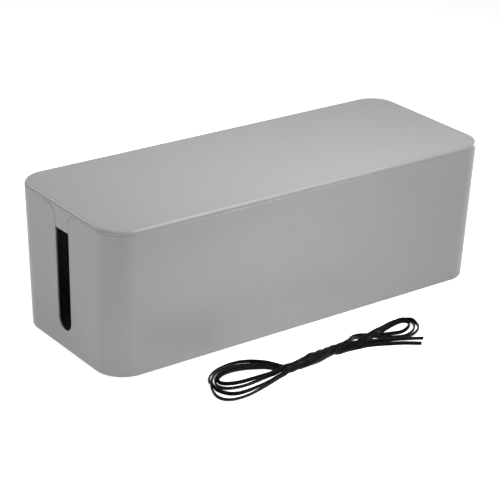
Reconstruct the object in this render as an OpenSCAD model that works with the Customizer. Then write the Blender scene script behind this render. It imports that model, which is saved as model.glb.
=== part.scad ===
// Cable management box: a drafted tub with rounded corners, a lift-off lid whose end tongues
// close the tops of two cable slots, four rubber feet, and a loose tie cord laid in front of it.
// Frame: +X along the length, -Y the long side that faces the cord, +Z up. The origin is on the
// table under the middle of the box.

/* [Box] */
// Length over the lid
box_l = 407; // [320:1:480]
// Width over the lid
box_w = 157; // [130:1:200]
// Height from the tub's underside to the lid's top
box_h = 133.5; // [105:0.5:170]
// How far each end wall leans in from the lid's top down to the tub's underside
draft_end = 3; // [1:0.5:6]
// How far each long wall leans in over the same height
draft_side = 3; // [1:0.5:6]
// Outer radius of the upright corners at the lid's top
corner_r = 25; // [18:1:36]
// Extra radius of the same corners at the tub's underside
corner_grow = 2; // [0:0.5:4]
// Wall thickness of the tub and of the lid's side
wall = 2.5; // [2:0.1:4]
// Thickness of the tub's floor
floor_t = 3; // [2.5:0.5:5]
// Radius of the tub's outer edge just below the seam
rim_edge_r = 1.3; // [0.4:0.1:1.5]

/* [Lid] */
// Height of the lid's side above the seam
lid_side_h = 4; // [3.5:0.5:8]
// Thickness of the lid's flat top
lid_top_t = 2.5; // [2:0.1:3.5]
// Radius of the lid's rounded top edge
lid_edge_r = 3; // [1:0.1:3.4]
// Depth of the locating rim below the seam
rim_h = 7; // [4:0.5:12]
// Thickness of the locating rim
rim_t = 1.8; // [1.2:0.1:2.5]
// Clearance between the locating rim and the tub's wall
rim_gap = 0.5; // [0.4:0.1:1]

/* [End slots] */
// Width of each slot just below the lid's tongue
slot_w = 21.2; // [16:0.2:30]
// Width of each slot at its rounded lower end
slot_end_w = 20.4; // [14:0.2:28]
// Height of the slot's lowest point above the tub's underside
slot_z = 18; // [10:0.5:40]
// Radius of the rounded corners at the slot's mouth
mouth_r = 11; // [6:0.5:14]
// How far the lid's tongue hangs below the seam
tongue_h = 18.5; // [15:0.5:30]
// Clearance between the tongue and the slot
tongue_gap = 0.4; // [0.3:0.05:0.8]

/* [Feet] */
// Diameter of a rubber foot
foot_d = 14; // [10:1:20]
// How far a foot stands out below the tub
foot_h = 1; // [0.8:0.1:3]
// Depth of the pocket that a foot is glued into
foot_pocket = 1; // [0.5:0.1:1.5]
// Radial clearance of a foot in its pocket
foot_gap = 0.3; // [0.2:0.1:0.6]
// Distance from an upright corner's centre line in to the foot's centre
foot_inset = 4; // [0:1:20]

/* [Tie cord] */
// Width of the flat cord, which is upright where the cord lies on its own
cord_w = 3.4; // [2:0.1:4]
// Thickness of the flat cord
cord_t = 1.8; // [1:0.1:2.5]
// Height of the hank where its runs are twisted together
hank_h = 8.5; // [6:0.5:10]
// Height of the open loops at the hank's two ends
eye_h = 5; // [4:0.5:6]
// Distance from the tub's long side to the middle of the hank
hank_away = 60; // [50:1:120]

/* [Hidden] */

plastic_grey = [0.62, 0.62, 0.63];
rubber_grey = [0.2, 0.2, 0.21];
cord_black = [0.05, 0.05, 0.05];

shell_fn = 96;       // facets of a full circle on the upright corners
edge_steps = 4;      // slices of a rounded edge
slice = 0.01;        // thickness of the discs that a hull joins
over = 1;            // how far a cut runs past the face that it opens

tub_z = foot_h;                        // underside of the tub
top_z = tub_z + box_h;                 // top of the lid
seam_z = top_z - lid_side_h;           // where the lid's side sits on the tub
slot_end_z = tub_z + slot_z + slot_end_w / 2;
mouth_z = seam_z - mouth_r;            // the slot's flared mouth starts here
tongue_z = seam_z - tongue_h;          // lower edge of the tongue
foot_x = box_l / 2 - draft_end - corner_r - corner_grow - foot_inset;
foot_y = box_w / 2 - draft_side - corner_r - corner_grow - foot_inset;

hank_x = -0.3;                         // the hank's own zero along the box
hank_y = -box_w / 2 - hank_away;       // the hank's middle line
// Discs that the hank's outline wraps: [x and y from its zero and middle line, radius]
left_eye = [[-130, -4, 13.5], [-124, 17, 12.5], [-105, 25, 12], [-85, 22, 11], [-70, 1, 4.5]];
twist = [[-70, 0, 4.5], [-30, 4, 4.5], [34, 5.5, 5]];
right_eye = [[34, 5.5, 5], [73, 14.5, 11], [76, 8, 10.5], [62, 1.5, 10.5]];
// Routes of the two cut ends, from inside the hank: [x and y from its zero and middle line]
upper_end = [[24, 3.7], [30, 1.3], [37, -0.9], [46, -3.7], [58, -9.4], [70, -16]];
lower_end = [[8, 1.5], [18, 0.2], [28, -3.1], [36, -7.1], [50, -14.3], [62, -23]];
cord_sides = 8;

// 1 at the tub's underside, 0 at the lid's top
function lean(z) = (top_z - z) / box_h;
function half_l(z) = box_l / 2 - draft_end * lean(z);
function half_w(z) = box_w / 2 - draft_side * lean(z);
function corner(z) = corner_r + corner_grow * lean(z);

// Four thin discs at the corners of the outline at height z, moved in by inset
module corner_discs(z, inset = 0) {
    r = corner(z) - inset;
    for (sx = [-1, 1], sy = [-1, 1])
        translate([sx * (half_l(z) - inset - r), sy * (half_w(z) - inset - r), z])
            cylinder(r = r, h = slice, $fn = shell_fn);
}

// The drafted outline between two heights, moved in by inset
module drafted(low, high, inset = 0) {
    hull() {
        corner_discs(low, inset);
        corner_discs(high - slice, inset);
    }
}

// The drafted outline between two heights, its top edge rounded to edge_r
module rounded_top(low, high, edge_r) {
    hull() {
        corner_discs(low);
        for (k = [0 : edge_steps])
            let (a = 90 * k / edge_steps)
                corner_discs(high - slice - edge_r * (1 - sin(a)), edge_r * (1 - cos(a)));
    }
}

// The slot's straight part in the Y-Z plane, narrowing to its rounded lower end
module slot_outline(gap = 0) {
    translate([0, slot_end_z]) circle(d = slot_end_w - 2 * gap, $fn = 64);
    polygon([[-slot_end_w / 2 + gap, slot_end_z], [slot_end_w / 2 - gap, slot_end_z],
             [slot_w / 2 - gap, mouth_z], [slot_w / 2 - gap, seam_z + over],
             [-slot_w / 2 + gap, seam_z + over], [-slot_w / 2 + gap, mouth_z]]);
}

// The flare on both sides of the slot's mouth, between the wall's rounded corners
module mouth_outline(gap = 0) {
    difference() {
        translate([-slot_w / 2 - mouth_r, mouth_z])
            square([slot_w + 2 * mouth_r, mouth_r + over]);
        for (side = [-1, 1])
            translate([side * (slot_w / 2 + mouth_r), mouth_z]) circle(r = mouth_r + gap, $fn = 96);
    }
}

// A Y-Z outline pushed through both end walls
module through_ends() {
    translate([-box_l / 2 - over, 0, 0]) rotate([90, 0, 90])
        linear_extrude(box_l + 2 * over) children();
}

module tub() {
    color(plastic_grey) difference() {
        rounded_top(tub_z, seam_z, rim_edge_r);
        drafted(tub_z + floor_t, seam_z + over, wall);
        through_ends() {
            slot_outline();
            mouth_outline();
        }
        for (sx = [-1, 1], sy = [-1, 1])
            translate([sx * foot_x, sy * foot_y, tub_z - over])
                cylinder(d = foot_d + 2 * foot_gap, h = foot_pocket + over, $fn = 64);
    }
}

module lid() {
    color(plastic_grey) {
        difference() {
            union() {
                rounded_top(seam_z, top_z, lid_edge_r);
                drafted(seam_z - rim_h, seam_z + over, wall + rim_gap);
            }
            drafted(seam_z - rim_h - over, top_z - lid_top_t, wall + rim_gap + rim_t);
        }
        intersection() {
            difference() {
                drafted(tongue_z, seam_z + over);
                drafted(tongue_z - over, seam_z + 2 * over, wall);
            }
            through_ends() tongue_outline();
        }
    }
}

// The tongue fills the slot's top and its flared mouth, less the clearance
module tongue_outline() {
    intersection() {
        union() {
            slot_outline(tongue_gap);
            mouth_outline(tongue_gap);
        }
        translate([-box_w / 2, tongue_z]) square([box_w, tongue_h + over / 2]);
    }
}

module foot(sx, sy) {
    color(rubber_grey) translate([sx * foot_x, sy * foot_y, 0])
        cylinder(d = foot_d, h = foot_h + foot_pocket, $fn = 64);
}

// The closed outer shape of the looped and twisted cord
module tie_cord_hank() {
    color(cord_black) for (part = [[left_eye, eye_h], [twist, hank_h], [right_eye, eye_h]])
        hull() for (disc = part[0])
            translate([hank_x + disc[0], hank_y + disc[1], 0]) cylinder(r = disc[2], h = part[1], $fn = 32);
}

// A tube as wide and thick as the cord, on its edge on the table along a route of [x, y] points
module cord_tube(route) {
    last = len(route) - 1;
    ring = [for (i = [0 : last])
        let (a = route[max(i - 1, 0)], b = route[min(i + 1, last)], run = norm(b - a),
             side = [-(b - a)[1], (b - a)[0]] / run)
        for (k = [0 : cord_sides - 1])
            let (t = 360 * (k + 0.5) / cord_sides, grow = 1 / cos(180 / cord_sides),
                 out = grow * cord_t / 2 * cos(t), up = grow * cord_w / 2 * sin(t))
                [hank_x + route[i][0] + side[0] * out, hank_y + route[i][1] + side[1] * out,
                 cord_w / 2 + up]];
    skin = [for (i = [0 : last - 1], k = [0 : cord_sides - 1])
        let (n = (k + 1) % cord_sides)
            [i * cord_sides + k, i * cord_sides + n,
             (i + 1) * cord_sides + n, (i + 1) * cord_sides + k]];
    cap_a = [for (k = [cord_sides - 1 : -1 : 0]) k];
    cap_b = [for (k = [0 : cord_sides - 1]) last * cord_sides + k];
    color(cord_black) polyhedron(ring, concat([cap_a], [cap_b], skin));
}

tub();
lid();
foot(-1, -1);  // foot_front_left
foot(1, -1);  // foot_front_right
foot(-1, 1);  // foot_back_left
foot(1, 1);  // foot_back_right
tie_cord_hank();
cord_tube(upper_end);  // tie_cord_end_upper
cord_tube(lower_end);  // tie_cord_end_lower
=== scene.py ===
"""Looks of the cable management box: a satin grey tub and lid, rubber feet and the loose tie cord."""

import math

import bmesh
import bpy
import numpy as np
from mathutils import Matrix, Vector
from mathutils.geometry import tessellate_polygon


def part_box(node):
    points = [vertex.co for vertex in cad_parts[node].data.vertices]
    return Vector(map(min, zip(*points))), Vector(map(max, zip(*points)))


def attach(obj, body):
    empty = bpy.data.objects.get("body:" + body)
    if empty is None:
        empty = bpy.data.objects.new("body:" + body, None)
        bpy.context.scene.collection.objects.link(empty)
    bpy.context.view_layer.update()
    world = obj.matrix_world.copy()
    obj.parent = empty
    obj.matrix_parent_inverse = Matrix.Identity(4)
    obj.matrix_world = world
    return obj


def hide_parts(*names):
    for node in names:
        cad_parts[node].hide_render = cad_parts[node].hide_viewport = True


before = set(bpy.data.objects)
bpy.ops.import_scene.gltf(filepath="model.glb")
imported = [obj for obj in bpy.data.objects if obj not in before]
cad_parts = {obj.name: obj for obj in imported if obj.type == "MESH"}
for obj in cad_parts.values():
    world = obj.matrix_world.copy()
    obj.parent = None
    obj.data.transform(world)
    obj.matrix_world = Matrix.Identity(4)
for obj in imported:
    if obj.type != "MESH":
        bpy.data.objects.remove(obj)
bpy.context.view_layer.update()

MM = 0.001

# ------------------------------------------------------------------ sizes, in mm
tub_low, tub_high = (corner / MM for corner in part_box("tub"))
lid_low, lid_high = (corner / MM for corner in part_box("lid"))
TUB_Z = tub_low.z            # underside of the tub
SEAM_Z = tub_high.z          # where the lid's side sits on the tub
TOP_Z = lid_high.z           # top of the lid
TONGUE_Z = lid_low.z         # lower edge of the lid's tongues

# The CAD source has the same numbers
HALF_LENGTH = 203.5          # at the lid's top
HALF_WIDTH = 78.5
LEAN_IN = 3                  # how far each wall leans in from the top down to the underside
CORNER_R = 25                # outer radius of the upright corners at the top
CORNER_GROW = 2              # extra radius at the underside
WALL = 2.5
FLOOR_T = 3
LID_TOP_T = 2.5
LOCATOR_DEPTH = 7            # the rim under the lid
LOCATOR_IN = 3               # its outer face from the lid's side: wall and clearance
LOCATOR_T = 1.8
SLOT_W = 21.2
SLOT_END_W = 20.4
SLOT_Z = 18                  # the slot's lowest point above the tub's underside
SLOT_END_Z = TUB_Z + SLOT_Z + SLOT_END_W / 2
MOUTH_R = 11
TONGUE_GAP = 0.4             # clearance at each side of a tongue
POCKET_D = 14.6
POCKET_DEPTH = 1

# Edges and small offsets, finer than in the CAD source
LID_EDGE_R = 3.4             # the lid's rounded top edge
LID_LOWER_EDGE_R = 0.2
LID_IN = 0.5                 # the lid's front bows in this far from the tub's
LID_END_IN = 0.05            # how far the lid's side stands in everywhere else
BOW_MIDDLE = -40             # x of the place where the bow is furthest in
BOW_REACH = 165              # half the length of the bow
RIM_EDGE_R = 1.3             # the tub's outer edge below the seam, at the bow's middle
RIM_END_R = 0.5              # the same edge at the ends, at the back and round the corners
RIM_INNER_R = 0.4            # the same edge inside
SLOT_EDGE_R = 0.6            # the slot's outer edge
SLOT_INNER_R = 1.5           # its inner edge, rounded for the cables
TONGUE_SHIFT = 0.25          # the tongues sit this far towards -y in the slots
TONGUE_EDGE_Z = 3            # from this far below the seam a tongue's inner edge is fully rounded
TUB_LOWER_R = 0.6            # the tub's lower outer edge
INNER_FILLET = 3             # between the walls and the floor, and under the lid
LOCATOR_EDGE_R = 0.7         # the locating rim's lower edge outside
LOCATOR_INNER_R = 0.4        # and inside

ARC_STEPS = 24               # faces round one upright corner
SIDE_STEPS = 15              # points along one long side
EDGE_STEPS = 5               # faces round a rounded edge
ROUND_STEPS = 48             # faces round a foot and its pocket
MERGE = 1e-7                 # points closer than this are one, in metres
SHARP = math.radians(40)     # an edge that turns more than this is sharp


# ------------------------------------------------------------------ mesh helpers
class Skin:
    """A mesh under construction, in mm: loops of points, joined by strips and closed by faces."""

    def __init__(self):
        self.points = []
        self.faces = []
        self.material = 0

    def loop(self, points):
        first = len(self.points)
        self.points.extend(points)
        return list(range(first, len(self.points)))

    def face(self, corners):
        self.faces.append((tuple(corners), self.material))

    def loft(self, loops):
        """Joins each loop to the next by a strip of faces."""
        for one, other in zip(loops, loops[1:]):
            for i in range(len(one)):
                j = (i + 1) % len(one)
                self.face((one[i], one[j], other[j], other[i]))

    def fill(self, outline, *holes):
        """Closes a flat outline, with holes in it where they are given."""
        rings = [outline, *holes]
        flat = [index for ring in rings for index in ring]
        corners = [[Vector(self.points[index]) for index in ring] for ring in rings]
        for triangle in tessellate_polygon(corners):
            self.face(flat[corner] for corner in triangle)

    def piece(self, name, materials):
        """The finished object, with flat faces that stay flat beside their rounded edges."""
        mesh = bpy.data.meshes.new(name)
        build = bmesh.new()
        verts = [build.verts.new(Vector(point) * MM) for point in self.points]
        for corners, material in self.faces:
            face = build.faces.new([verts[index] for index in corners])
            face.material_index = material
            face.smooth = True
        bmesh.ops.remove_doubles(build, verts=build.verts, dist=MERGE)
        bmesh.ops.dissolve_degenerate(build, edges=build.edges, dist=MERGE)
        bmesh.ops.recalc_face_normals(build, faces=build.faces)
        build.to_mesh(mesh)
        build.free()
        mesh.set_sharp_from_angle(angle=SHARP)
        for material in materials:
            mesh.materials.append(material)
        obj = bpy.data.objects.new(name, mesh)
        bpy.context.scene.collection.objects.link(obj)
        weighted = obj.modifiers.new("flat_faces_stay_flat", "WEIGHTED_NORMAL")
        weighted.keep_sharp = True
        return obj


def lean(z):
    return LEAN_IN * (TOP_Z - z) / (TOP_Z - TUB_Z)


def corner_radius(z):
    return CORNER_R + CORNER_GROW * (TOP_Z - z) / (TOP_Z - TUB_Z)


def outline(z, inset=0.0):
    """The box's rounded outline at height z, moved in by inset, from the front right corner on."""
    half_l = HALF_LENGTH - lean(z) - inset
    half_w = HALF_WIDTH - lean(z) - inset
    radius = corner_radius(z) - inset
    points = []
    for quarter, (side_x, side_y) in enumerate(((1, -1), (1, 1), (-1, 1), (-1, -1))):
        for step in range(ARC_STEPS + 1):
            angle = math.radians(90 * (quarter - 1 + step / ARC_STEPS))
            points.append((side_x * (half_l - radius) + radius * math.cos(angle),
                           side_y * (half_w - radius) + radius * math.sin(angle), z))
        if side_x == side_y:
            for step in range(1, SIDE_STEPS + 1):
                along = side_x * (half_l - radius) * (1 - 2 * step / (SIDE_STEPS + 1))
                points.append((along, side_y * half_w, z))
    return points


def bowed(plain, furthest):
    """Outline points that go from plain at the ends and the back to furthest at the front's middle."""
    points = []
    for one, other in zip(plain, furthest):
        share = max(0, 1 - ((one[0] - BOW_MIDDLE) / BOW_REACH) ** 2) if one[1] < 0 else 0
        points.append(tuple(a + (b - a) * share for a, b in zip(one, other)))
    return points


def rounded(z, radius, inset, up, into=1):
    """Outlines that turn from an upright wall to the level face at height z by a quarter circle.
    up is 1 where that face is above the wall. into is 1 where it lies further in than the wall."""
    rings = []
    for step in range(EDGE_STEPS + 1):
        angle = math.radians(90 * step / EDGE_STEPS)
        height = z - up * radius * (1 - math.sin(angle))
        rings.append(outline(height, inset + into * radius * (1 - math.cos(angle))))
    return rings


def circle(x, y, z, radius, count):
    angles = [2 * math.pi * k / count for k in range(count)]
    return [(x + radius * math.cos(a), y + radius * math.sin(a), z) for a in angles]


# ------------------------------------------------------------------ camera
CAMERA_PLACE = (-0.9083, -1.1987, 0.7076)
CAMERA_AZIMUTH = -36.953
CAMERA_ELEVATION = 23.7734
CAMERA_ROLL = 1.6521
CAMERA_LENS = 130.5172
SENSOR_WIDTH = 36


def make_camera():
    data = bpy.data.cameras.new("camera")
    data.sensor_width = SENSOR_WIDTH
    data.lens = CAMERA_LENS
    camera = bpy.data.objects.new("camera", data)
    turn = (Matrix.Rotation(math.radians(CAMERA_AZIMUTH), 4, "Z")
            @ Matrix.Rotation(math.radians(90 - CAMERA_ELEVATION), 4, "X")
            @ Matrix.Rotation(math.radians(CAMERA_ROLL), 4, "Z"))
    camera.matrix_world = Matrix.Translation(CAMERA_PLACE) @ turn
    bpy.context.scene.collection.objects.link(camera)
    bpy.context.scene.camera = camera


# ------------------------------------------------------------------ tie cord, in mm on the table
CORD_WIDTH = 3.4             # the cord is flat, with round edges
CORD_T = 1.8
FLAT = CORD_WIDTH / 2        # height of the cord's middle where it stands on its edge on the table
HANK_MOVED = (-0.3, 0, 0)    # the whole hank's shift from the points below
CORD_STEP = 1.6              # mm from point to point while it settles
ROUTE_SPLITS = 12            # points on the smooth curve for each given one
LINE_SPLITS = 2              # the same for the settled line
SECTION_POINTS = 12

# How the cord settles
SETTLE_STEPS = 500
RUN_GAP = 2.2                # how near the middles of two runs may come, in mm
ALONG_GAPS = 2.2             # points nearer than this many gaps along the cord are no two runs
NEAR_EVERY = 8               # steps from one search for near runs to the next
PUSHES = 3                   # pushes apart in one step
OVERPUSH = 1.3
PULL = 0.03                  # share of the way back to the route, in one step
SINK = 0.02                  # how far it sinks in one step
UNBEND = 0.1                 # how much of a kink goes in one step
LINK_SHARE = 0.25            # share of a link's wrong length that each of its ends mends

# Points of the cord as (x, y, z). Outside the twist, a height under FLAT only holds it down on the
# table. The two cut ends run from the tip inwards, and the CAD source has the same two routes.
END_UPPER = [(70, -154.5, FLAT), (58, -147.9, FLAT), (46, -142.2, FLAT), (37, -139.4, FLAT),
             (30, -137.2, FLAT), (24, -134.8, FLAT), (18, -132.4, FLAT), (11, -129.8, FLAT)]
END_LOWER = [(62, -161.5, FLAT), (50, -152.8, FLAT), (36, -145.6, FLAT), (28, -141.7, FLAT),
             (18, -138.3, FLAT), (8, -137, FLAT), (-3, -136.2, FLAT), (-12, -135.7, 1.2)]

# The left eye's four runs, from the upper neck round the tip to the lower neck
LEFT_OUTER = [(-77, -117.8, 2.4), (-86, -112, 1.8), (-96, -107.8, 1.3), (-106, -106.1, FLAT),
              (-114.1, -106.7, FLAT), (-120.6, -109, FLAT), (-126.3, -113.3, FLAT),
              (-131.1, -118.3, FLAT), (-135, -123.5, FLAT), (-138.3, -129, FLAT),
              (-141, -135.5, FLAT), (-142.3, -142, FLAT), (-141.3, -147.8, FLAT),
              (-138, -151.6, FLAT), (-132.5, -154, FLAT), (-125, -154.6, FLAT), (-117, -154, FLAT),
              (-108, -152, FLAT), (-98, -149.2, FLAT), (-88, -146, FLAT), (-78, -142.8, 1.4)]
LEFT_CROSSING = [(-73, -118.4, 3.4), (-78, -112, 3), (-84.5, -106, 2.6), (-92, -102.6, 2),
                 (-101, -101.6, 1.6), (-109, -102.3, 1.6), (-116, -104, 2), (-122.5, -107, 2.4),
                 (-128, -111.2, 2.8), (-132, -115.6, 3.2), (-134.6, -120.2, 3.5),
                 (-135.9, -124.6, 3.6), (-136.2, -128.6, 3.2), (-136, -132.6, 2),
                 (-134.8, -137.5, 1.2), (-132.6, -142, FLAT), (-129, -145.6, FLAT),
                 (-124, -147.4, FLAT), (-116.5, -147.9, FLAT), (-107, -147.1, FLAT),
                 (-97, -145.6, FLAT), (-87, -143.2, 1.2), (-78, -140.6, 1.6)]
LEFT_MIDDLE = [(-76, -122, 1.6), (-85, -116.6, 1.3), (-95, -112.2, FLAT), (-105, -110.4, FLAT),
               (-113, -110.8, FLAT), (-119, -112.8, FLAT), (-124.6, -116.2, FLAT), (-129, -121, FLAT),
               (-131.8, -126.2, FLAT), (-131.6, -130.6, FLAT), (-129, -134.2, FLAT),
               (-124.6, -136.9, FLAT), (-118, -138.7, FLAT), (-110, -139.4, FLAT),
               (-100, -138.5, FLAT), (-89, -136.9, 1.4), (-79, -136.2, 2.4)]
LEFT_INNER = [(-77, -124.8, FLAT), (-86, -119, FLAT), (-96, -114.8, FLAT), (-106, -113, FLAT),
              (-114, -113.5, FLAT), (-120.5, -115.8, FLAT), (-125.2, -119.1, FLAT),
              (-127, -122.8, FLAT), (-125.3, -126.4, FLAT), (-121.3, -129.3, FLAT),
              (-114.8, -131.7, FLAT), (-106, -132.8, FLAT), (-96, -133, FLAT), (-87, -133.2, 1.6),
              (-78, -133.6, 3)]

# The right eye: three runs go out from the neck, turn at the tip and come back
OUT_TOP = [(11, -133, 4.6), (16.5, -131.2, 5.4), (22, -129.4, 5.7), (28, -127.6, 5.5),
           (35, -125.4, 5), (43, -122.4, 4.2), (52, -118.8, 3), (60, -116, 2), (68, -114.8, 1.2),
           (75, -115.4, FLAT)]
OUT_MIDDLE = [(11, -134.6, 2.4), (17, -133.2, 3.8), (23, -131.2, 4.8), (30, -128.8, 4.9),
              (37, -126.4, 4.4), (45, -123.4, 3.6), (54, -120.4, 2.8), (62, -118.6, 2.8),
              (69, -117.8, 3.2)]
OUT_LOW = [(11, -133, 1.2), (17, -134.6, 2.2), (24, -132.8, 3.6), (31.4, -129.8, 3.8),
           (38, -127.2, 3.2), (46.6, -124.4, 2.4), (55.4, -121.6, 1.6), (64, -119.2, FLAT),
           (71.5, -118, FLAT)]
TIP_MIDDLE = [(80.5, -117.8, FLAT), (83, -122.5, FLAT), (80.9, -129, FLAT), (76, -135.2, FLAT),
              (69.6, -139.3, FLAT), (62.5, -141.5, FLAT)]
TIP_OUTER = [(75.5, -118, 3.4), (81, -120.8, 3.4), (83.8, -125.4, 3), (83.6, -130.8, 2),
             (80.5, -136, 1.2), (74.5, -140.6, FLAT), (67.6, -143.6, FLAT), (61, -144.6, FLAT)]
TIP_INNER = [(77, -118.8, FLAT), (79.4, -122.2, FLAT), (77.8, -126.6, FLAT), (73.6, -130.2, FLAT),
             (68, -133, FLAT), (62, -134.4, FLAT)]
BACK_INNER = [(56, -133.2, FLAT), (50, -131.2, FLAT), (43.9, -129.2, FLAT), (39, -126.8, 1.3),
              (35, -124, 1.8), (30, -121.6, 2.6), (24.5, -121, 3.6), (18, -122.2, 4.8), (11, -125, 6)]
BACK_MIDDLE = [(54, -140.4, FLAT), (47.5, -137, FLAT), (41.5, -133.2, FLAT), (36.8, -129.8, FLAT),
               (33, -126.8, FLAT), (28.5, -124.4, 1.6), (23, -123.6, 3), (17, -124.8, 4.8),
               (11, -127.6, 6.4)]
BACK_OUTER = [(53.6, -142.9, FLAT), (46, -139.8, FLAT), (39, -137.2, FLAT), (32.7, -134.8, FLAT),
              (28.1, -132.8, FLAT), (22.9, -130.8, FLAT), (17, -128.8, FLAT), (11, -127.2, 2.2)]

# The twist between the eyes: the runs stand in a ring, an ellipse that turns along x. The half
# turns are those made up to each TURN_X, and the ring's middle and half axes are at each RING_X.
TURN_X = [-90, -62, -40, -17, -4, 7, 22]
HALF_TURNS = [0, 0.5, 1, 1.5, 2, 2.4, 3]
RING_X = [-66, -57, -49, -42, -34, -26, -18, -10, -2, 6]
RING_Y = [-136.8, -136.6, -136.3, -135.6, -134.9, -133.9, -132.3, -131.5, -131.3, -130.8]
RING_HALF_WIDTH = [3.6, 3.3, 4.2, 5.2, 5.2, 4.4, 3.4, 3.3, 3.4, 4.2]
RING_HALF_HEIGHT = [2.6, 2.9, 3.2, 3.6, 3.6, 3.4, 3.2, 3.1, 3.1, 3.2]
RING_CROWDING = [0, 0, 0.2, 0.42, 0.42, 0.2, 0, 0, 0, 0.1]
CROWDED_FROM = math.radians(140)
RING_PLACE = {"left_inner": 112.5, "left_middle": 157.5, "end_lower": 202.5, "top": 247.5,
              "left_crossing": 67.5, "end_upper": 22.5, "low": -22.5, "middle": -67.5}
TWIST_X = [-66, -60, -54, -48, -42, -36, -30, -24, -18, -12, -6, 0, 5]
NECKS = (-78, 16)            # beyond these the cord stands on its edge
NECK_LENGTH = 14             # over which it turns from that to lying round the twist
LEANING = math.radians(35)   # how far its width leans over on the arms, one way and the other
LEAN_EVERY = 190             # mm of cord from one lean to the next of its kind
TURN_SHARE = 0.2             # how quickly the width follows its wanted way, from point to point


def eased(x, xs, ys):
    """A smooth curve through the points (xs, ys), read at x."""
    slopes = np.gradient(np.array(ys, float), np.array(xs, float))
    k = int(np.clip(np.searchsorted(xs, x) - 1, 0, len(xs) - 2))
    width = xs[k + 1] - xs[k]
    t = min(max((x - xs[k]) / width, 0), 1)
    return ((2 * t**3 - 3 * t**2 + 1) * ys[k] + (t**3 - 2 * t**2 + t) * width * slopes[k]
            + (3 * t**2 - 2 * t**3) * ys[k + 1] + (t**3 - t**2) * width * slopes[k + 1])


def in_twist(x):
    """1 in the twist, 0 beyond its two necks, and in each neck something between."""
    return (np.clip((x - NECKS[0]) / NECK_LENGTH, 0, 1) * np.clip((NECKS[1] - x) / NECK_LENGTH, 0, 1))


def lowest(x):
    """Height of the cord's middle where it lies on the table: on its edge, or flat in the twist."""
    return FLAT + (CORD_T / 2 - FLAT) * in_twist(x)


def twisted(place, last_x=5):
    """One run's points through the twist, from left to right."""
    points = []
    for x in TWIST_X:
        if x > last_x:
            break
        half_width = eased(x, RING_X, RING_HALF_WIDTH)
        half_height = eased(x, RING_X, RING_HALF_HEIGHT)
        angle = math.radians(RING_PLACE[place] - 180 * eased(x, TURN_X, HALF_TURNS))
        angle -= eased(x, RING_X, RING_CROWDING) * math.sin(angle - CROWDED_FROM)
        points.append((x, eased(x, RING_X, RING_Y) + half_width * math.cos(angle),
                       lowest(x) + half_height + half_height * math.sin(angle)))
    return points


def cord_route():
    """The whole cord, from the lower cut end to the upper one."""
    route = END_LOWER + twisted("end_lower", -18)[::-1]
    route += LEFT_CROSSING[::-1] + twisted("left_crossing")
    route += BACK_OUTER[::-1] + TIP_OUTER[::-1] + OUT_MIDDLE[::-1] + twisted("middle")[::-1]
    route += LEFT_INNER + twisted("left_inner")
    route += BACK_INNER[::-1] + TIP_INNER[::-1] + OUT_LOW[::-1] + twisted("low")[::-1]
    route += LEFT_MIDDLE + twisted("left_middle")
    route += BACK_MIDDLE[::-1] + TIP_MIDDLE[::-1] + OUT_TOP[::-1] + twisted("top")[::-1]
    route += LEFT_OUTER[::-1] + twisted("end_upper") + END_UPPER[::-1]
    return np.array(route, float) + HANK_MOVED


def smoothed(points, steps):
    """A centripetal Catmull-Rom curve through the points."""
    padded = np.vstack([2 * points[0] - points[1], points, 2 * points[-1] - points[-2]])
    curve = []
    for p0, p1, p2, p3 in zip(padded, padded[1:], padded[2:], padded[3:]):
        t1 = np.linalg.norm(p1 - p0) ** 0.5
        t2 = t1 + np.linalg.norm(p2 - p1) ** 0.5
        t3 = t2 + np.linalg.norm(p3 - p2) ** 0.5
        for t in np.linspace(t1, t2, steps, endpoint=False):
            a1 = ((t1 - t) * p0 + t * p1) / t1
            a2 = ((t2 - t) * p1 + (t - t1) * p2) / (t2 - t1)
            a3 = ((t3 - t) * p2 + (t - t2) * p3) / (t3 - t2)
            b1 = ((t2 - t) * a1 + t * a2) / t2
            b2 = ((t3 - t) * a2 + (t - t1) * a3) / (t3 - t1)
            curve.append(((t2 - t) * b1 + (t - t1) * b2) / (t2 - t1))
    curve.append(points[-1])
    return np.array(curve)


def evenly(points, step):
    """The same line with its points evenly spaced."""
    run = np.concatenate([[0], np.cumsum(np.linalg.norm(np.diff(points, axis=0), axis=1))])
    places = np.linspace(0, run[-1], int(round(run[-1] / step)) + 1)
    return np.stack([np.interp(places, run, points[:, axis]) for axis in range(3)], axis=1)


def settled(route):
    """The cord at rest: it keeps its length, lies on the table, and no run goes through another."""
    line = route.copy()
    count = len(line)
    link = np.linalg.norm(np.diff(line, axis=0), axis=1).mean()
    far_along = max(3, int(round(ALONG_GAPS * RUN_GAP / link)))
    one_all, two_all = np.triu_indices(count, far_along)
    for step in range(SETTLE_STEPS):
        line += PULL * (route - line)
        line[:, 2] -= SINK
        line[2:-2] += UNBEND * (-line[:-4] + 4 * line[1:-3] - 6 * line[2:-2] + 4 * line[3:-1]
                                - line[4:])
        if step % NEAR_EVERY == 0:
            near = np.linalg.norm(line[one_all] - line[two_all], axis=1) < 2 * RUN_GAP
            one, two = one_all[near], two_all[near]
        for _ in range(PUSHES):
            gap = line[one] - line[two]
            distance = np.linalg.norm(gap, axis=1)
            close = distance < RUN_GAP
            push = (0.5 * (RUN_GAP - distance[close]) / np.maximum(distance[close], 1e-6))[:, None]
            push = push * gap[close]
            moved = np.zeros_like(line)
            times = np.zeros(count)
            for ends, sign in ((one[close], 1), (two[close], -1)):
                np.add.at(moved, ends, sign * push)
                np.add.at(times, ends, 1)
            line += OVERPUSH * moved / np.maximum(times, 1)[:, None]
            for first in (0, 1):
                a = np.arange(first, count - 1, 2)
                along = line[a + 1] - line[a]
                length = np.linalg.norm(along, axis=1)
                fix = (LINK_SHARE * (length - link) / length)[:, None] * along
                line[a] += fix
                line[a + 1] -= fix
            line[:, 2] = np.maximum(line[:, 2], lowest(line[:, 0]))
    return line


def unit(vector):
    return vector / np.linalg.norm(vector)


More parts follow.
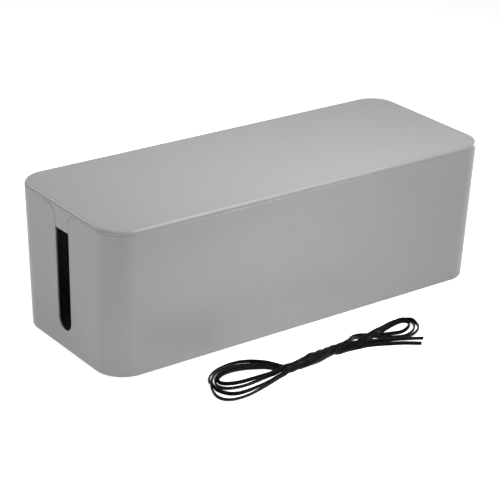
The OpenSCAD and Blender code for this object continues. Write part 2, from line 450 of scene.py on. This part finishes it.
def width_ways(line):
    """The way that the cord's width points: up in the eyes, with a lean, and round the twist in it."""
    ways = []
    way = np.array([0.0, 0, 1])
    run = 0.0
    for i, point in enumerate(line):
        x = point[0]
        along = unit(line[min(i + 1, len(line) - 1)] - line[max(i - 1, 0)])
        run += np.linalg.norm(point - line[max(i - 1, 0)])
        across = unit(np.cross(along, (0, 0, 1)))
        lean_angle = LEANING * math.sin(2 * math.pi * run / LEAN_EVERY) * abs(along[0])
        upright = np.cross(across, along) * math.cos(lean_angle) + across * math.sin(lean_angle)
        middle_z = lowest(x) + eased(x, RING_X, RING_HALF_HEIGHT)
        middle = np.array([x, eased(x, RING_X, RING_Y), middle_z])
        round_twist = unit(np.cross(along, point - middle))
        share = in_twist(x)
        wanted = np.zeros(3)
        for part, size in ((upright, 1 - share), (round_twist, share)):
            wanted += size * part * (1 if np.dot(part, way) > 0 else -1)
        way = way + TURN_SHARE * (wanted - way)
        way = unit(way - np.dot(way, along) * along)
        ways.append((along, way))
    return ways


def on_the_table(line, ways):
    """The line, raised where the cord's surface would be under the table."""
    line = line.copy()
    for middle, (_, way) in zip(line, ways):
        middle[2] = max(middle[2], CORD_T / 2 + abs(way[2]) * (CORD_WIDTH - CORD_T) / 2)
    return line


def cord_section():
    """Half round edges with flat faces between them: (across the faces, along the width) pairs."""
    points = []
    for k in range(SECTION_POINTS):
        angle = 2 * math.pi * (k + 0.5) / SECTION_POINTS
        edge = math.copysign((CORD_WIDTH - CORD_T) / 2, math.sin(angle))
        points.append((CORD_T / 2 * math.cos(angle), CORD_T / 2 * math.sin(angle) + edge))
    return points


def make_cord(material):
    route = evenly(smoothed(cord_route(), ROUTE_SPLITS), CORD_STEP)
    line = settled(route)
    line = smoothed(line, LINE_SPLITS)
    ways = width_ways(line)
    line = on_the_table(line, ways)
    skin = Skin()
    rings = []
    for middle, (along, way) in zip(line, ways):
        face_way = np.cross(along, way)
        ring = [middle + face * face_way + width * way for face, width in cord_section()]
        rings.append(skin.loop(ring))
    skin.loft(rings)
    skin.face(rings[0])
    skin.face(rings[-1])
    cord = skin.piece("tie_cord", [material])
    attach(cord, "tub")
    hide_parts("tie_cord_hank", "tie_cord_end_upper", "tie_cord_end_lower")


# ------------------------------------------------------------------ materials
NOISE_RANGE = (0.3, 0.7)     # noise seldom leaves these
GROOVED = (1, 1, 0.03)       # draws a pattern out along z


def new_material(name, color, roughness, ior=1.5):
    material = bpy.data.materials.new(name)
    material.use_nodes = True
    nodes = material.node_tree.nodes
    shader = nodes["Principled BSDF"]
    shader.inputs["Base Color"].default_value = (*color, 1)
    shader.inputs["Roughness"].default_value = roughness
    shader.inputs["IOR"].default_value = ior
    place = nodes.new("ShaderNodeTexCoord")
    return material, nodes, material.node_tree.links, shader, place.outputs["Object"]


def noise(nodes, links, place, size, detail=2.0, stretch=None):
    """Noise with features of about the given size, in metres."""
    if stretch:
        mapping = nodes.new("ShaderNodeMapping")
        mapping.inputs["Scale"].default_value = stretch
        links.new(place, mapping.inputs["Vector"])
        place = mapping.outputs["Vector"]
    texture = nodes.new("ShaderNodeTexNoise")
    texture.inputs["Scale"].default_value = 1 / size
    texture.inputs["Detail"].default_value = detail
    links.new(place, texture.inputs["Vector"])
    return texture.outputs["Fac"]


def ranged(nodes, links, value, low, high):
    """A noise value turned into one between low and high."""
    node = nodes.new("ShaderNodeMapRange")
    node.inputs["From Min"].default_value = NOISE_RANGE[0]
    node.inputs["From Max"].default_value = NOISE_RANGE[1]
    node.inputs["To Min"].default_value = low
    node.inputs["To Max"].default_value = high
    links.new(value, node.inputs["Value"])
    return node.outputs["Result"]


def bumped(nodes, links, shader, layers):
    """Bump layers, each a height value and its depth in metres, one over the other."""
    normal = None
    for height, depth in layers:
        bump = nodes.new("ShaderNodeBump")
        bump.inputs["Distance"].default_value = depth
        links.new(height, bump.inputs["Height"])
        if normal:
            links.new(normal, bump.inputs["Normal"])
        normal = bump.outputs["Normal"]
    links.new(normal, shader.inputs["Normal"])


def varied_color(nodes, links, shader, value, color, spread):
    """The colour, a little darker and lighter with the value."""
    mix = nodes.new("ShaderNodeMix")
    mix.data_type = "RGBA"
    mix.inputs["A"].default_value = (*(c * (1 - spread) for c in color), 1)
    mix.inputs["B"].default_value = (*(c * (1 + spread) for c in color), 1)
    links.new(ranged(nodes, links, value, 0, 1), mix.inputs["Factor"])
    links.new(mix.outputs["Result"], shader.inputs["Base Color"])


SHELL_GREY = (0.36, 0.36, 0.36)


def spark_plastic():
    """Satin moulded plastic with the fine grain of a spark-eroded mould."""
    material, nodes, links, shader, place = new_material("shell_plastic", SHELL_GREY, roughness=0.42)
    cloud = noise(nodes, links, place, size=0.03, detail=3)
    varied_color(nodes, links, shader, cloud, SHELL_GREY, spread=0.012)
    grain = noise(nodes, links, place, size=0.00045, detail=3)
    pits = noise(nodes, links, place, size=0.0011, detail=2)
    waves = noise(nodes, links, place, size=0.05, detail=1)
    links.new(ranged(nodes, links, pits, low=0.34, high=0.4), shader.inputs["Roughness"])
    bumped(nodes, links, shader, [(waves, 0.00002), (pits, 0.000006), (grain, 0.000006)])
    return material


def inner_plastic():
    """The same plastic inside, from a plainer, drawn-polished core."""
    material, nodes, links, shader, place = new_material("shell_plastic_inside", SHELL_GREY,
                                                         roughness=0.36)
    cloud = noise(nodes, links, place, size=0.04, detail=3)
    varied_color(nodes, links, shader, cloud, SHELL_GREY, spread=0.015)
    drawn = noise(nodes, links, place, size=0.0008, detail=2, stretch=GROOVED)
    links.new(ranged(nodes, links, drawn, low=0.3, high=0.42), shader.inputs["Roughness"])
    bumped(nodes, links, shader, [(drawn, 0.000006)])
    return material


RUBBER_GREY = (0.03, 0.03, 0.032)


def foot_rubber():
    """Dull rubber with a fine grain, a little dusty."""
    material, nodes, links, shader, place = new_material("foot_rubber", RUBBER_GREY,
                                                         roughness=0.8, ior=1.52)
    dust = noise(nodes, links, place, size=0.003, detail=4)
    varied_color(nodes, links, shader, dust, RUBBER_GREY, spread=0.25)
    grain = noise(nodes, links, place, size=0.0003, detail=3)
    links.new(ranged(nodes, links, dust, low=0.72, high=0.88), shader.inputs["Roughness"])
    bumped(nodes, links, shader, [(grain, 0.00002)])
    return material


CORD_BLACK = (0.004, 0.004, 0.004)
CORD_SPECULAR = 0.05


def cord_sheath():
    """Soft black plastic sheath, satin, with faint marks of its extrusion."""
    material, nodes, links, shader, place = new_material("cord_black", CORD_BLACK, roughness=0.3)
    shader.inputs["Specular IOR Level"].default_value = CORD_SPECULAR
    marks = noise(nodes, links, place, size=0.004, detail=3)
    varied_color(nodes, links, shader, marks, CORD_BLACK, spread=0.15)
    grain = noise(nodes, links, place, size=0.0004, detail=2)
    links.new(ranged(nodes, links, marks, low=0.26, high=0.36), shader.inputs["Roughness"])
    bumped(nodes, links, shader, [(grain, 0.000008)])
    return material


# ------------------------------------------------------------------ feet
FEET = {}                    # the middle of each foot, as (x, y)
for end in ("left", "right"):
    for side in ("front", "back"):
        low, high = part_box(f"foot_{side}_{end}")
        FEET[f"foot_{side}_{end}"] = ((low.x + high.x) / 2 / MM, (low.y + high.y) / 2 / MM)
# (radius, z) pairs from the middle of the lower face round to the middle of the upper one
FOOT_PROFILE = [(0.6, 0.25), (4.6, 0.25), (5.1, 0.05), (5.6, 0), (6.5, 0), (6.85, 0.15), (7, 0.5),
                (7, 1.8), (6.8, 2), (0.6, 2)]


def make_foot(name, x, y, material):
    """A moulded rubber foot: a flat ring bears on the table round a shallow middle."""
    skin = Skin()
    loops = [skin.loop(circle(x, y, z, radius, ROUND_STEPS)) for radius, z in FOOT_PROFILE]
    skin.loft(loops)
    skin.face(loops[0])
    skin.face(loops[-1])
    return skin.piece(f"{name}_rubber", [material])


# ------------------------------------------------------------------ the two shells
RIGHT_END = ARC_STEPS + 1    # points of an outline before its straight right end
LEFT_END = 3 * RIGHT_END + SIDE_STEPS
MOUTH_STEPS = 12
SLOT_END_STEPS = 12
MARK_STEPS = 40              # faces round a mark
# The marks of the mould's gate and ejector pins, as (radius, height) pairs from rim to middle
GATE_MARK = [(5.6, 0), (4.9, -0.01), (4.0, -0.05), (3.0, -0.1), (1.9, -0.13), (1.0, -0.14),
             (0.9, -0.12), (0.5, -0.12)]
PIN_MARK = [(3.5, 0), (3.45, -0.12), (0.4, -0.12)]
PIN_PLACES = [(x, y) for x in (-150, -50, 50, 150) for y in (-48, 48)]


def over_edge(outer_r, inner_r):
    """(along, deep) pairs over a wall's edge, from the outer face to the inner one."""
    turns = [math.radians(90 * k / EDGE_STEPS) for k in range(EDGE_STEPS + 1)]
    outer = [(outer_r * (1 - math.sin(t)), outer_r * (1 - math.cos(t))) for t in turns]
    inner = [(inner_r * (1 - math.sin(t)), WALL - inner_r * (1 - math.cos(t))) for t in turns[::-1]]
    return outer + inner


def end_point(side, y, z, deep):
    """A point at a depth behind the outer face of an end wall."""
    return (side * (HALF_LENGTH - lean(z) - deep), y, z)


def slot_half():
    """Half of a slot's edge, from the seam to the middle of its round end: (y, z, into_y, into_z).
    The last two point into the plastic."""
    rows = []
    for step in range(MOUTH_STEPS + 1):
        angle = math.radians(90 * (1 - step / MOUTH_STEPS))
        y = -SLOT_W / 2 - MOUTH_R + MOUTH_R * math.cos(angle)
        z = SEAM_Z - MOUTH_R + MOUTH_R * math.sin(angle)
        rows.append((y, z, -math.cos(angle), -math.sin(angle)))
    for step in range(SLOT_END_STEPS + 1):
        angle = math.radians(180 + 90 * step / SLOT_END_STEPS)
        y = SLOT_END_W / 2 * math.cos(angle)
        z = SLOT_END_Z + SLOT_END_W / 2 * math.sin(angle)
        rows.append((y, z, math.cos(angle), math.sin(angle)))
    return rows


def tongue_half():
    """Half of a tongue's edge, from the seam to the middle of its lower edge, as slot_half has it."""
    radius = MOUTH_R + TONGUE_GAP
    start = math.asin(MOUTH_R / radius)
    rows = []
    for step in range(MOUTH_STEPS + 1):
        angle = start * (1 - step / MOUTH_STEPS)
        y = -SLOT_W / 2 - MOUTH_R + radius * math.cos(angle)
        z = SEAM_Z - MOUTH_R + radius * math.sin(angle)
        rows.append((y, z, math.cos(angle), math.sin(angle)))
    narrowing = (SLOT_W - SLOT_END_W) / 2 / (SEAM_Z - MOUTH_R - SLOT_END_Z)
    corner_y = -SLOT_W / 2 + TONGUE_GAP + narrowing * (SEAM_Z - MOUTH_R - TONGUE_Z)
    rows.append((corner_y, TONGUE_Z, 1, 1))
    rows.append((0, TONGUE_Z, 0, 1))
    return rows


def both_halves(rows, shift=0.0):
    """A half edge and its mirror image, from -y to +y, moved along y by shift."""
    whole = rows + [(-y, z, -into_y, into_z) for y, z, into_y, into_z in rows[-2::-1]]
    return [(y + shift, z, into_y, into_z) for y, z, into_y, into_z in whole]


def edge_loops(up, plain, furthest, curve, curve_radii):
    """Loops round the whole edge at the seam, one for each step over it. up is the way into the wall.
    plain and furthest are (inset, outer radius, inner radius), at the ends and at the bow's middle.
    curve is the edge of a slot or tongue, and curve_radii gives its two radii at a height."""
    inset = plain[0]
    curve_steps = [over_edge(*curve_radii(z)) for _, z, _, _ in curve]
    loops = []
    for k, pair in enumerate(zip(over_edge(*plain[1:]), over_edge(*furthest[1:]))):
        rings = [outline(SEAM_Z + up * along, shape[0] + deep)
                 for (along, deep), shape in zip(pair, (plain, furthest))]
        ring = bowed(*rings)
        ends = {}
        for side in (1, -1):
            ends[side] = [end_point(side, y + into_y * steps[k][0], z + into_z * steps[k][0],
                                    inset + steps[k][1])
                          for (y, z, into_y, into_z), steps in zip(curve, curve_steps)]
        loops.append(ring[:RIGHT_END] + ends[1] + ring[RIGHT_END:LEFT_END] + ends[-1][::-1]
                     + ring[LEFT_END:])
    return loops


def beside(ring, edge):
    """Each side of a plain outline with what lies beside it in an edge loop that has both slots in it."""
    dip = (len(edge) - len(ring)) // 2
    place = [i + dip * ((i >= RIGHT_END) + (i >= LEFT_END)) for i in range(len(ring))]
    for i in range(len(ring)):
        j = (i + 1) % len(ring)
        first, last = place[i], place[j]
        yield ring[i], ring[j], edge[first:last + 1] if last > first else [edge[first], edge[last]]


def join_walls(skin, ring, edge):
    for one, other, run in beside(ring, edge):
        skin.face((one, other, *run[::-1]))


def round_mark(skin, x, y, z, profile, up):
    """A round mark in a flat face. up is 1 where the face looks up. The result is the mark's rim."""
    loops = [skin.loop(circle(x, y, z + up * height, radius, MARK_STEPS)) for radius, height in profile]
    skin.loft(loops)
    skin.face(loops[-1])
    return loops[0]


def ring_loops(skin, rings):
    return [skin.loop(ring) for ring in rings]


def make_tub(materials):
    skin = Skin()

    def radii(z):
        """The edge's two radii go from the rim's to the slot's over the height of the slot's mouth."""
        share = min((SEAM_Z - z) / MOUTH_R, 1)
        return (RIM_END_R + (SLOT_EDGE_R - RIM_END_R) * share,
                RIM_INNER_R + (SLOT_INNER_R - RIM_INNER_R) * share)

    curve = both_halves(slot_half())
    edge = ring_loops(skin, edge_loops(-1, (0, RIM_END_R, RIM_INNER_R), (0, RIM_EDGE_R, RIM_INNER_R),
                                       curve, radii))
    lower = ring_loops(skin, rounded(TUB_Z, TUB_LOWER_R, 0, -1))
    skin.loft(lower)
    join_walls(skin, lower[0], edge[0])
    skin.loft(edge)
    pockets = []
    for x, y in FEET.values():
        rim = skin.loop(circle(x, y, TUB_Z, POCKET_D / 2, ROUND_STEPS))
        top = skin.loop(circle(x, y, TUB_Z + POCKET_DEPTH, POCKET_D / 2, ROUND_STEPS))
        skin.loft([rim, top])
        skin.face(top)
        pockets.append(rim)
    gate = round_mark(skin, 0, 0, TUB_Z, GATE_MARK, -1)
    skin.fill(lower[-1], gate, *pockets)

    skin.material = 1
    floor_z = TUB_Z + FLOOR_T
    inner = ring_loops(skin, rounded(floor_z, INNER_FILLET, WALL, -1))
    join_walls(skin, inner[0], edge[-1])
    skin.loft(inner)
    pins = [round_mark(skin, x, y, floor_z, PIN_MARK, 1) for x, y in PIN_PLACES]
    skin.fill(inner[-1], *pins)
    return skin.piece("tub_shell", materials)


def make_lid(materials):
    skin = Skin()

    def radii(z):
        """The tongue's inner edge is sharp at the seam, where the locating rim meets it."""
        share = min((SEAM_Z - z) / TONGUE_EDGE_Z, 1)
        return LID_LOWER_EDGE_R, LID_LOWER_EDGE_R * share

    curve = both_halves(tongue_half(), -TONGUE_SHIFT)
    edge = ring_loops(skin, edge_loops(1, (LID_END_IN, LID_LOWER_EDGE_R, 0),
                                       (LID_IN, LID_LOWER_EDGE_R, 0), curve, radii))
    both = [rounded(TOP_Z, LID_EDGE_R, inset, 1) for inset in (LID_END_IN, LID_IN)]
    upper = ring_loops(skin, [bowed(plain, furthest) for plain, furthest in zip(*both)])
    join_walls(skin, upper[0], edge[0])
    skin.loft(upper)
    gate = round_mark(skin, 0, 0, TOP_Z, GATE_MARK, 1)
    skin.fill(upper[-1], gate)
    skin.loft(edge)

    skin.material = 1
    locator = skin.loop(outline(SEAM_Z, LOCATOR_IN))
    for one, other, run in beside(locator, edge[-1]):
        if len(run) == 2:
            skin.face((one, other, *run[::-1]))
        else:
            skin.face((one, other, run[-1], run[-2], run[1], run[0]))
            skin.face(run[1:-1])
    low_z = SEAM_Z - LOCATOR_DEPTH
    inside = LOCATOR_IN + LOCATOR_T
    under_z = TOP_Z - LID_TOP_T
    down = ring_loops(skin, rounded(low_z, LOCATOR_EDGE_R, LOCATOR_IN, -1))
    back_up = ring_loops(skin, rounded(low_z, LOCATOR_INNER_R, inside, -1, into=-1)[::-1])
    under = ring_loops(skin, rounded(under_z, INNER_FILLET, inside, 1))
    skin.loft([locator, *down, *back_up, *under])
    pins = [round_mark(skin, x, y, under_z, PIN_MARK, -1) for x, y in PIN_PLACES]
    skin.fill(under[-1], *pins)
    return skin.piece("lid_shell", materials)


# ------------------------------------------------------------------ floor, lights and world
FLOOR_GREY = 0.8
FLOOR_GLOW = 0.85            # added where the floor shows as background
FLOOR_REACH = 6
AMBIENT = 0.05               # the world's light on the object

# Area lamps: name, place, what it points at, its two sides, power in watts
LAMPS = [
    ("key_light", (0.42, -0.5, 0.78), (0, 0, 0.1), (0.35, 0.2), 2.7),
    ("near_light", (0.05, -0.27, 0.45), (0, -0.06, 0.12), (0.2, 0.08), 0.72),
    ("top_light", (-0.02, -0.03, 0.5), (-0.02, -0.03, 0), (0.25, 0.12), 0.58),
    ("floor_light", (-0.05, -0.24, 0.12), (-0.05, -0.2, 0), (0.2, 0.05), 0.13),
    ("left_light", (-0.78, -0.28, 0.08), (-0.2, 0, 0.06), (0.4, 0.1), 1.6),
    ("left_back_light", (-0.53, 0.8, 0.64), (-0.2, 0, 0.134), (0.2, 0.2), 2.3),
    ("right_light", (0.9, 0.1, 0.1), (0.2, 0, 0.06), (0.4, 0.1), 2),
    ("back_light", (0.1, 0.5, 0.05), (0.05, 0.08, 0.05), (0.4, 0.06), 0.6),
]


def seen_white(nodes):
    """Values that are 1 for rays that show the background: seen plainly, in a gloss, or through glass."""
    seen = nodes.new("ShaderNodeLightPath").outputs
    return seen["Is Camera Ray"], seen["Is Glossy Ray"], seen["Is Transmission Ray"]


def any_of(nodes, links, values):
    """The greatest of the values, by nodes."""
    total = values[0]
    for value in values[1:]:
        node = nodes.new("ShaderNodeMath")
        node.operation = "MAXIMUM"
        links.new(total, node.inputs[0])
        links.new(value, node.inputs[1])
        total = node.outputs[0]
    return total


def make_floor():
    material = bpy.data.materials.new("white_floor")
    material.use_nodes = True
    nodes, links = material.node_tree.nodes, material.node_tree.links
    nodes.clear()
    diffuse = nodes.new("ShaderNodeBsdfDiffuse")
    diffuse.inputs["Color"].default_value = (FLOOR_GREY, FLOOR_GREY, FLOOR_GREY, 1)
    glow = nodes.new("ShaderNodeEmission")
    strength = nodes.new("ShaderNodeMath")
    strength.operation = "MULTIPLY"
    strength.inputs[1].default_value = FLOOR_GLOW
    links.new(any_of(nodes, links, seen_white(nodes)), strength.inputs[0])
    links.new(strength.outputs[0], glow.inputs["Strength"])
    both = nodes.new("ShaderNodeAddShader")
    links.new(diffuse.outputs[0], both.inputs[0])
    links.new(glow.outputs[0], both.inputs[1])
    output = nodes.new("ShaderNodeOutputMaterial")
    links.new(both.outputs[0], output.inputs["Surface"])
    mesh = bpy.data.meshes.new("floor")
    corners = [(x * FLOOR_REACH, y * FLOOR_REACH, 0) for x, y in ((-1, -1), (1, -1), (1, 1), (-1, 1))]
    mesh.from_pydata(corners, [], [(0, 1, 2, 3)])
    mesh.materials.append(material)
    floor = bpy.data.objects.new("floor", mesh)
    bpy.context.scene.collection.objects.link(floor)


def make_world():
    world = bpy.data.worlds.new("white_studio")
    bpy.context.scene.world = world
    world.use_nodes = True
    nodes, links = world.node_tree.nodes, world.node_tree.links
    background = nodes["Background"]
    background.inputs["Color"].default_value = (1, 1, 1, 1)
    strength = nodes.new("ShaderNodeMapRange")
    strength.inputs["To Min"].default_value = AMBIENT
    strength.inputs["To Max"].default_value = 1
    links.new(any_of(nodes, links, seen_white(nodes)), strength.inputs["Value"])
    links.new(strength.outputs["Result"], background.inputs["Strength"])


def soft_light(name, place, target, size, power):
    data = bpy.data.lights.new(name, "AREA")
    data.shape = "RECTANGLE"
    data.size, data.size_y = size
    data.energy = power
    light = bpy.data.objects.new(name, data)
    light.location = place
    light.visible_camera = False
    aim = Vector(target) - Vector(place)
    light.rotation_mode = "QUATERNION"
    light.rotation_quaternion = aim.to_track_quat("-Z", "Y")
    bpy.context.scene.collection.objects.link(light)


# ------------------------------------------------------------------ the scene
make_camera()
make_cord(cord_sheath())
shell_materials = [spark_plastic(), inner_plastic()]
tub = make_tub(shell_materials)
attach(tub, "tub")
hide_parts("tub")
lid = make_lid(shell_materials)
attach(lid, "lid")
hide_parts("lid")
rubber = foot_rubber()
for name, (x, y) in FEET.items():
    foot = make_foot(name, x, y, rubber)
    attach(foot, "tub")
    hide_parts(name)
make_floor()
make_world()
for lamp in LAMPS:
    soft_light(*lamp)
bpy.context.scene.view_settings.view_transform = "Standard"
